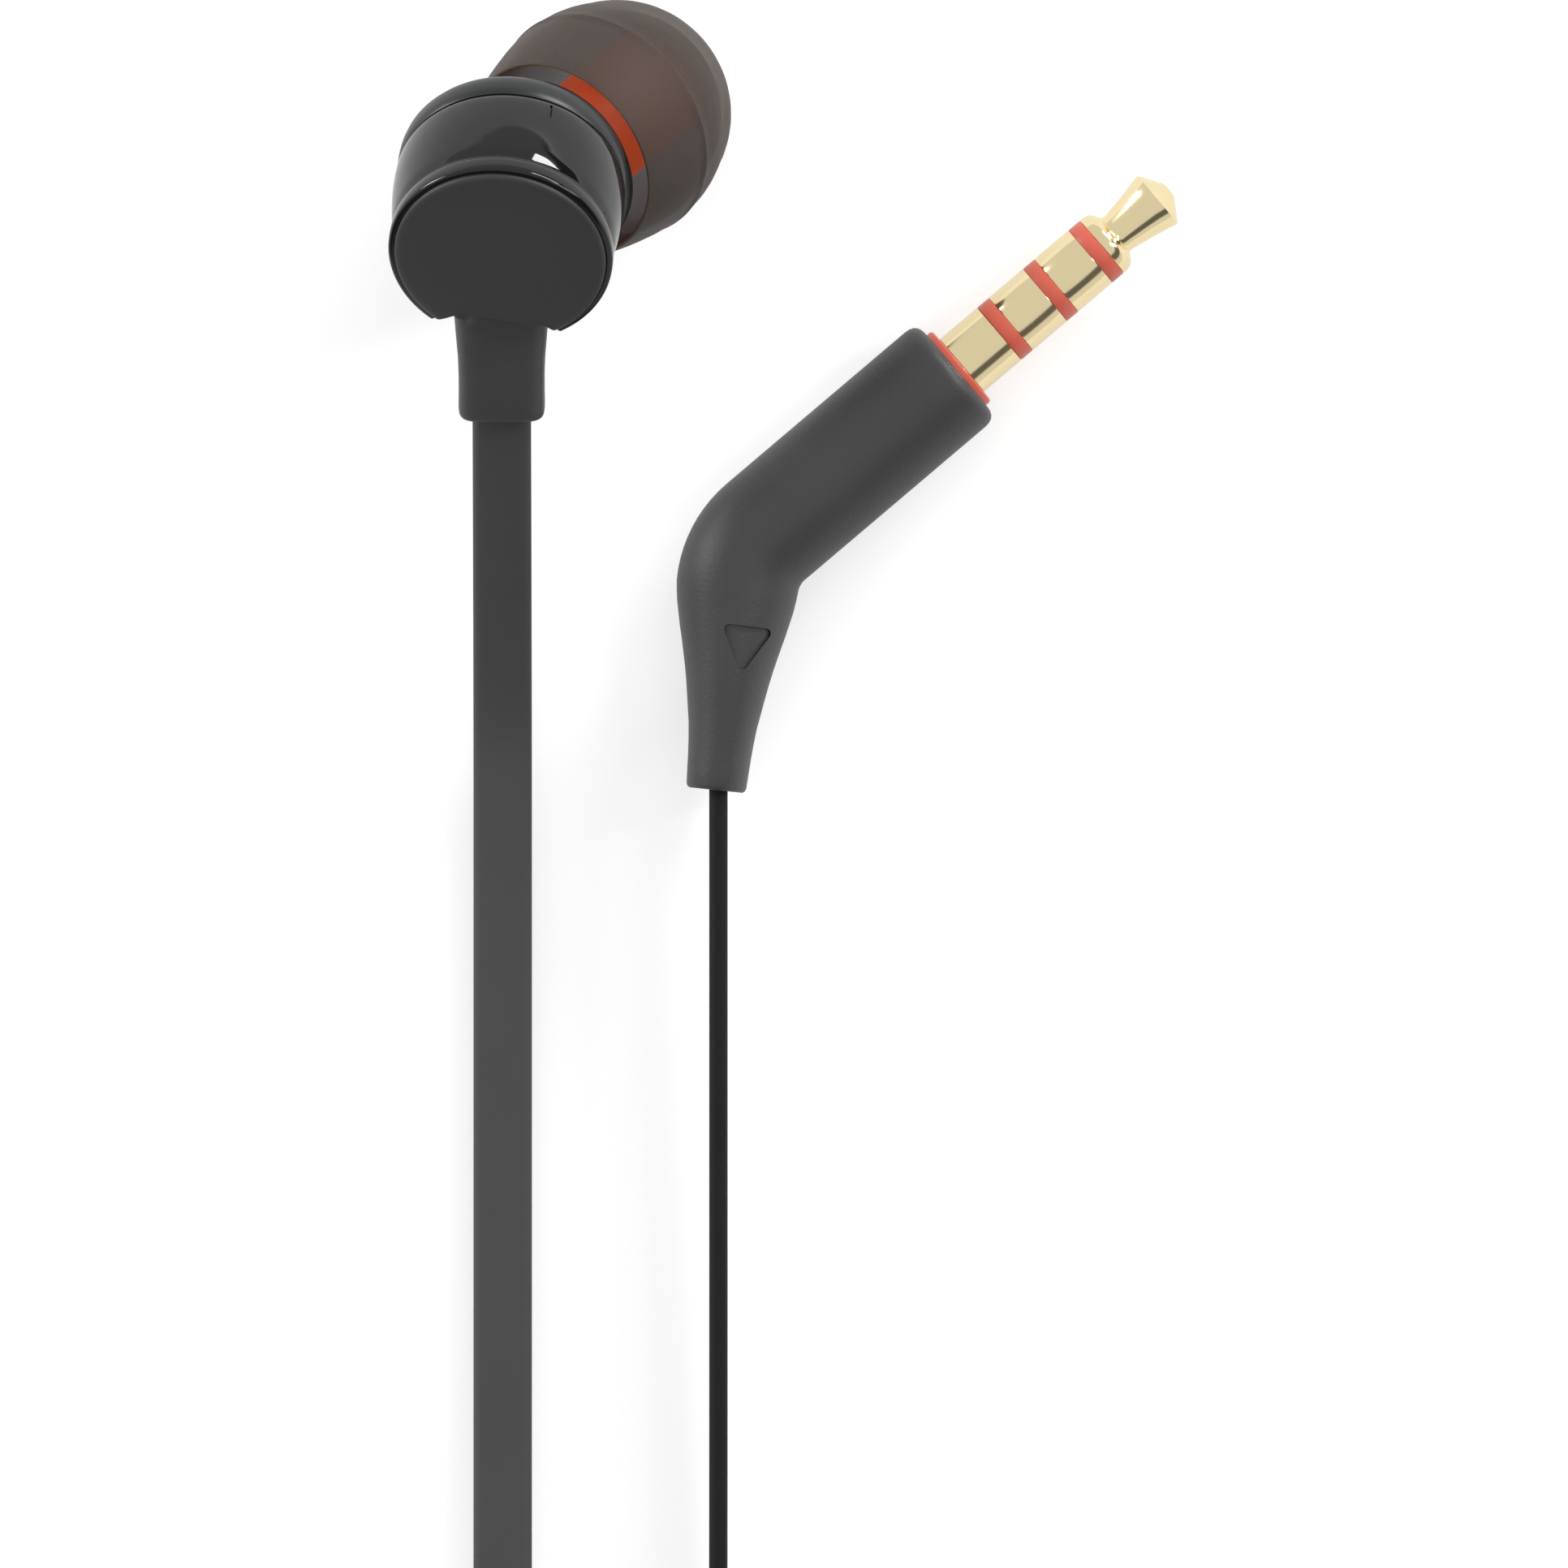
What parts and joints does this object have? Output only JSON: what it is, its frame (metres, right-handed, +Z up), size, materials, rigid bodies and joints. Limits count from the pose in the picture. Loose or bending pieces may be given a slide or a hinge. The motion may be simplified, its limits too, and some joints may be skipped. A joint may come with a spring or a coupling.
{
  "type": "wired earphones",
  "caption": "In-ear earphones with angled nozzles, flat cord wound in coils, in-line button remote, splitter and an angled four-contact headphone plug.",
  "frame": {"origin": "on the table, at the middle of the box round the two earbuds without the cord", "axes": "+Z up from the table; +Y along the seen straight cord towards the left earbud; +X to the right seen from above"},
  "size_m": [0.0547, 0.1607, 0.022],
  "materials": {
    "cap_black": "matte, slightly speckled charcoal",
    "housing_gloss": "polished black",
    "tip_silicone": "smoky translucent silicone",
    "core_silicone": "orange-red silicone",
    "cord_jacket": "matte flat jacket",
    "relief_rubber": "finely grained rubber",
    "tie_vinyl": "soft vinyl band",
    "contact_gold": "pale gold plate, polished",
    "insulator_orange": "glossy orange-red plastic",
    "core_plastic": "natural plastic",
    "driver_steel": "stamped steel",
    "magnet_nickel": "nickel plated",
    "coil_copper": "enamelled copper wire",
    "diaphragm_film": "thin amber film",
    "board_green": "solder mask green",
    "switch_plastic": "moulded black plastic"
  },
  "bodies": {
    "earphones": {"left_back_cap": "cap_black", "left_rear_shell": "housing_gloss", "left_front_shell": "housing_gloss", "left_nozzle_mesh": "driver_steel", "left_driver_frame": "driver_steel", "left_driver_grille": "driver_steel", "left_driver_yoke": "driver_steel", "left_driver_magnet": "magnet_nickel", "left_driver_pole_plate": "driver_steel", "left_terminal_board": "board_green", "left_strain_relief": "relief_rubber", "right_back_cap": "cap_black", "right_rear_shell": "housing_gloss", "right_front_shell": "housing_gloss", "right_nozzle_mesh": "driver_steel", "right_driver_frame": "driver_steel", "right_driver_grille": "driver_steel", "right_driver_yoke": "driver_steel", "right_driver_magnet": "magnet_nickel", "right_driver_pole_plate": "driver_steel", "right_terminal_board": "board_green", "right_strain_relief": "relief_rubber", "left_cord_upper": "cord_jacket", "left_cord_lower": "cord_jacket", "left_cord_coil": "cord_jacket", "left_cord_tail": "cord_jacket", "right_cord_upper": "cord_jacket", "right_cord_coil": "cord_jacket", "right_cord_tail": "cord_jacket", "main_cord_upper": "cord_jacket", "main_coil": "cord_jacket", "main_cord_tail": "cord_jacket", "splitter": "relief_rubber", "main_coil_tie": "tie_vinyl", "leg_coil_tie": "tie_vinyl", "plug_core": "core_plastic", "sleeve_contact": "contact_gold", "plug_collar": "insulator_orange", "ring_contact_rear": "contact_gold", "ring_contact_front": "contact_gold", "insulator_bands": "insulator_orange", "tip_contact": "contact_gold", "plug_boot": "relief_rubber", "remote_lower_shell": "cap_black", "remote_upper_shell": "cap_black", "remote_board": "board_green", "switch_body": "switch_plastic", "microphone": "magnet_nickel"},
    "left ear tip": {"left_ear_tip": "tip_silicone", "left_tip_core": "core_silicone"},
    "left cone": {"left_diaphragm": "diaphragm_film", "left_voice_coil": "coil_copper"},
    "right ear tip": {"right_ear_tip": "tip_silicone", "right_tip_core": "core_silicone"},
    "right cone": {"right_diaphragm": "diaphragm_film", "right_voice_coil": "coil_copper"},
    "button": {"remote_button": "cap_black", "switch_plunger": "switch_plastic"}
  },
  "joints": [
    {"name": "left_ear_tip_turn", "type": "hinge", "parent": "earphones", "child": "left ear tip", "pos_m": [-0.01156, 0.05148, 0.00973], "axis": [0.5363, 0.4415, -0.7193], "continuous": true},
    {"name": "left_cone_stroke", "type": "slide", "parent": "earphones", "child": "left cone", "axis": [0.09, 0.6439, -0.7598], "range_m": [-0.00015, 0.00015], "stiffness_N_per_m": 100},
    {"name": "right_ear_tip_turn", "type": "hinge", "parent": "earphones", "child": "right ear tip", "pos_m": [0.01364, -0.04721, 0.00973], "axis": [-0.0187, 0.6944, -0.7193], "continuous": true},
    {"name": "right_cone_stroke", "type": "slide", "parent": "earphones", "child": "right cone", "axis": [0.4269, 0.4903, -0.7598], "range_m": [-0.00015, 0.00015], "stiffness_N_per_m": 100},
    {"name": "button_press", "type": "slide", "parent": "earphones", "child": "button", "axis": [0, 0, -1], "range_m": [0, 0.00035], "stiffness_N_per_m": 1500}
  ]
}
